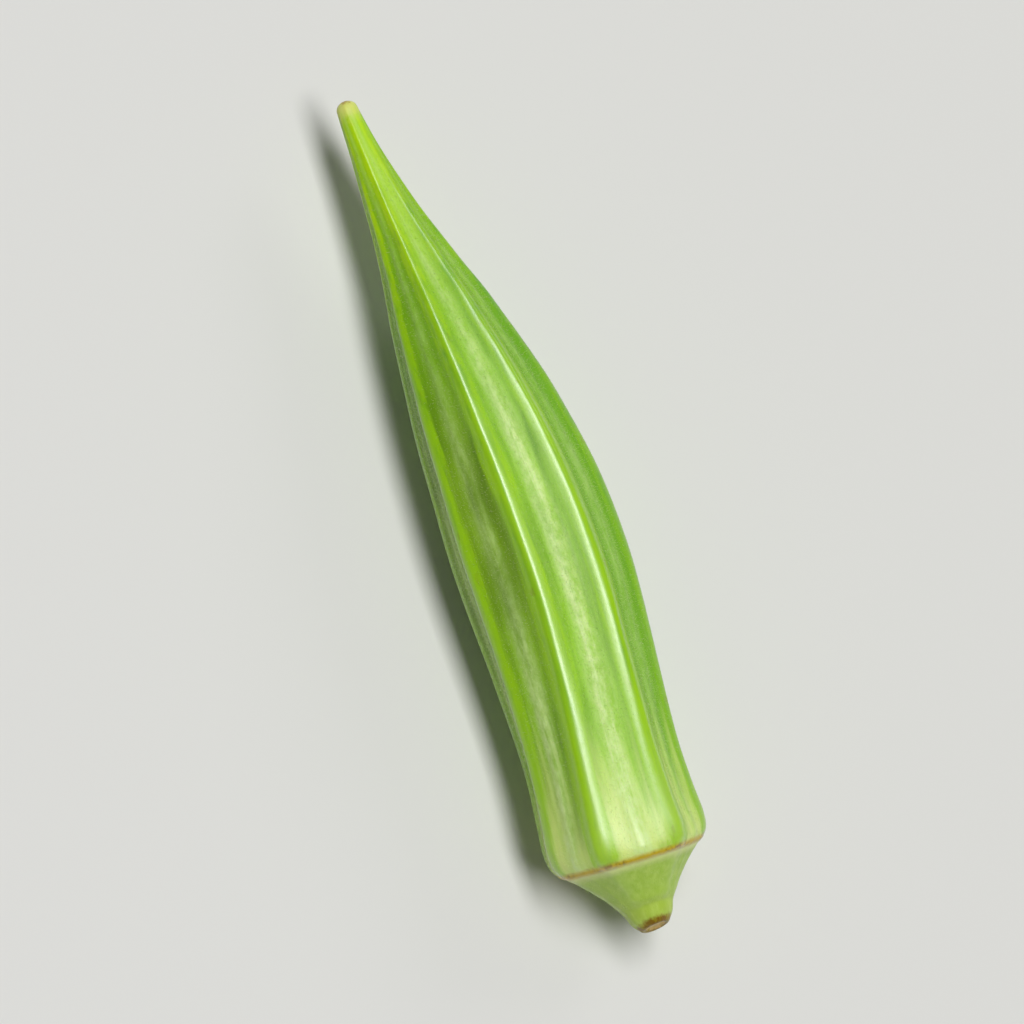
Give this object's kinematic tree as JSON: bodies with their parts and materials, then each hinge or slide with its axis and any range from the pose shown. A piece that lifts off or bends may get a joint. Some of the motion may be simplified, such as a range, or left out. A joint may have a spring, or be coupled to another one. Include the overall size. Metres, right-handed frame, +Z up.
{
  "type": "okra pod",
  "caption": "Fresh green okra pod lying on its side: long, ridged and gently bowed, with a slender beak at one end and a pale conical cap with a short cut stem at the other.",
  "frame": {"origin": "middle of the underside of the bounding box, on the surface the pod lies on", "axes": "+X along the pod from the beak to the cut stem, +Y to the side it bows towards, +Z up"},
  "size_m": [0.09, 0.0188, 0.0163],
  "materials": {
    "pod_skin": "fresh green plant skin, satin, lime on the ridges and frosted with fine hairs on the faces between them, paler on the cap"
  },
  "bodies": {
    "root": {"pod": "pod_skin"}
  },
  "joints": []
}
